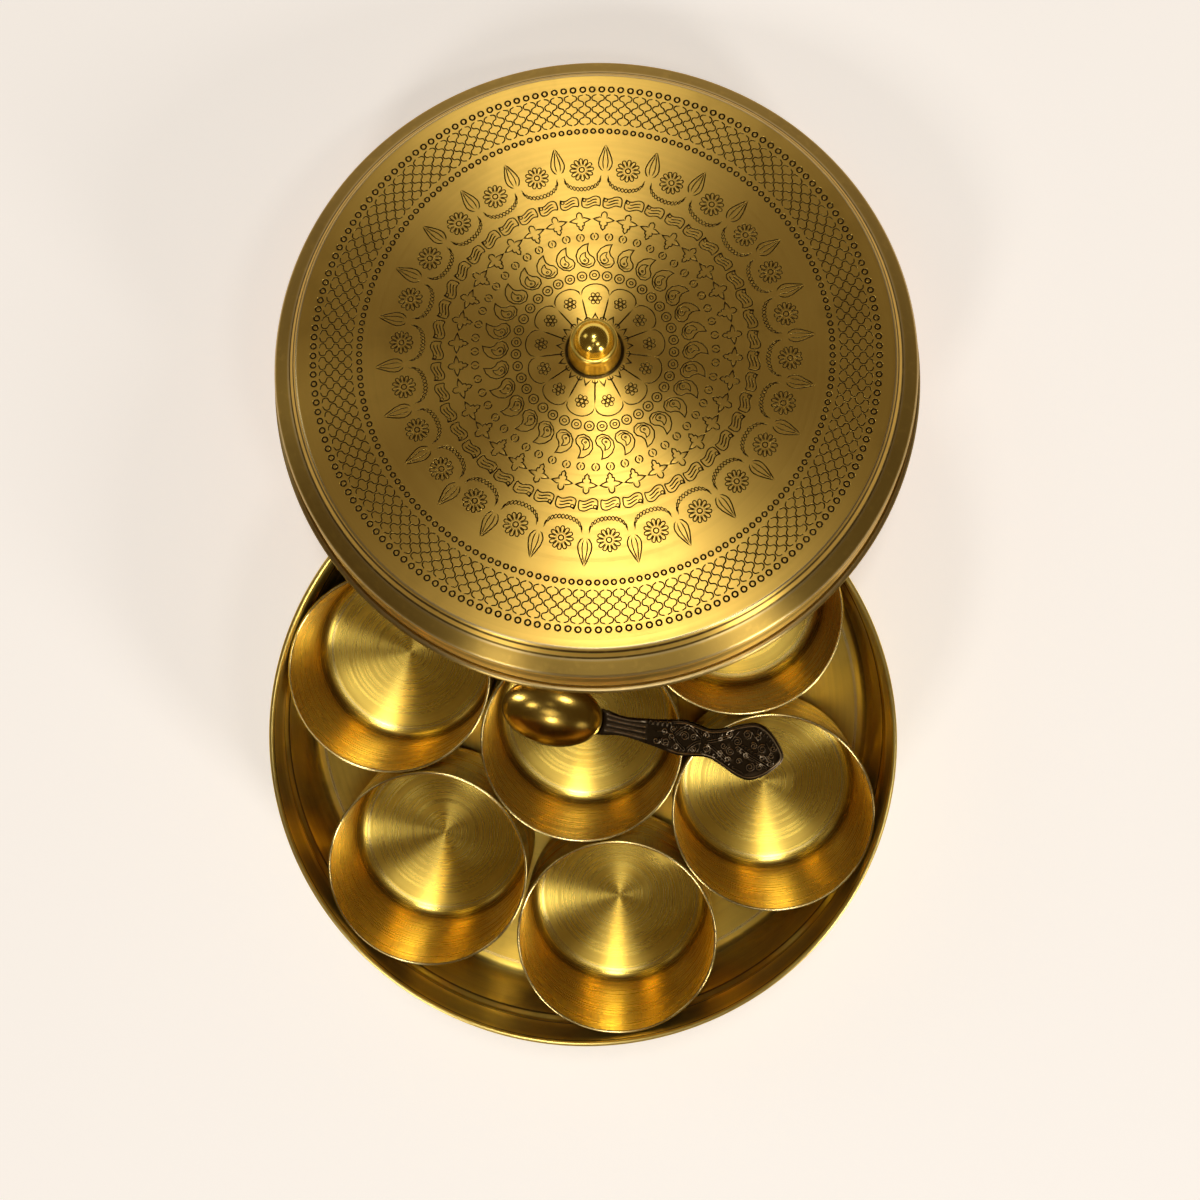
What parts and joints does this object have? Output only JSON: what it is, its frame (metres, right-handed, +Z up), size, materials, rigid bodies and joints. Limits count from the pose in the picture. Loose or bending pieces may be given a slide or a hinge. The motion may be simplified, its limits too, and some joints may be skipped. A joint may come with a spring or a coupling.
{
  "type": "spice box",
  "caption": "Round brass spice box with loose spun cups in a shallow pan, a small spoon, and an engraved lid with a ball knob that leans open on the rim.",
  "frame": {"origin": "centre of the pan's flat underside, on the surface it stands on", "axes": "+Z up, +Y from the pan towards the side the lid leans on, +X to the right seen from the side opposite the lid"},
  "size_m": [0.239, 0.3654, 0.0918],
  "materials": {
    "spun_brass": "brushed",
    "engraved_brass": "brushed and engraved",
    "polished_brass": "polished",
    "darkened_brass": "blackened, worn on the edges",
    "plain_brass": "satin"
  },
  "bodies": {
    "pan": {"pan": "spun_brass"},
    "lid": {"lid_shell": "engraved_brass", "knob_post": "polished_brass", "knob_ball": "polished_brass", "knob_washer": "plain_brass", "knob_screw": "plain_brass"},
    "spoon": {"spoon_bowl": "polished_brass", "spoon_handle": "darkened_brass"},
    "cup_centre": {"cup_centre": "spun_brass"},
    "cup_back": {"cup_back": "spun_brass"},
    "cup_left_back": {"cup_left_back": "spun_brass"},
    "cup_left_front": {"cup_left_front": "spun_brass"},
    "cup_front": {"cup_front": "spun_brass"},
    "cup_right_front": {"cup_right_front": "spun_brass"},
    "cup_right_back": {"cup_right_back": "spun_brass"}
  },
  "joints": [
    {"name": "lid_lift", "type": "slide", "parent": "pan", "child": "lid", "axis": [0, 0, 1], "range_m": [0, 0.2]},
    {"name": "spoon_lift", "type": "slide", "parent": "pan", "child": "spoon", "axis": [0, 0, 1], "range_m": [0, 0.14]},
    {"name": "cup_centre_lift", "type": "slide", "parent": "pan", "child": "cup_centre", "axis": [0, 0, 1], "range_m": [0, 0.08]},
    {"name": "cup_back_lift", "type": "slide", "parent": "pan", "child": "cup_back", "axis": [0, 0, 1], "range_m": [0, 0.08]},
    {"name": "cup_left_back_lift", "type": "slide", "parent": "pan", "child": "cup_left_back", "axis": [0, 0, 1], "range_m": [0, 0.08]},
    {"name": "cup_left_front_lift", "type": "slide", "parent": "pan", "child": "cup_left_front", "axis": [0, 0, 1], "range_m": [0, 0.08]},
    {"name": "cup_front_lift", "type": "slide", "parent": "pan", "child": "cup_front", "axis": [0, 0, 1], "range_m": [0, 0.08]},
    {"name": "cup_right_front_lift", "type": "slide", "parent": "pan", "child": "cup_right_front", "axis": [0, 0, 1], "range_m": [0, 0.08]},
    {"name": "cup_right_back_lift", "type": "slide", "parent": "pan", "child": "cup_right_back", "axis": [0, 0, 1], "range_m": [0, 0.08]}
  ],
  "couplings": [
    {"joint": "spoon_lift", "follows": "lid_lift", "ratio": 0.7},
    {"joint": "cup_centre_lift", "follows": "lid_lift", "ratio": 0.4},
    {"joint": "cup_back_lift", "follows": "lid_lift", "ratio": 0.4},
    {"joint": "cup_left_back_lift", "follows": "lid_lift", "ratio": 0.4},
    {"joint": "cup_right_front_lift", "follows": "lid_lift", "ratio": 0.4},
    {"joint": "cup_right_back_lift", "follows": "lid_lift", "ratio": 0.4}
  ]
}
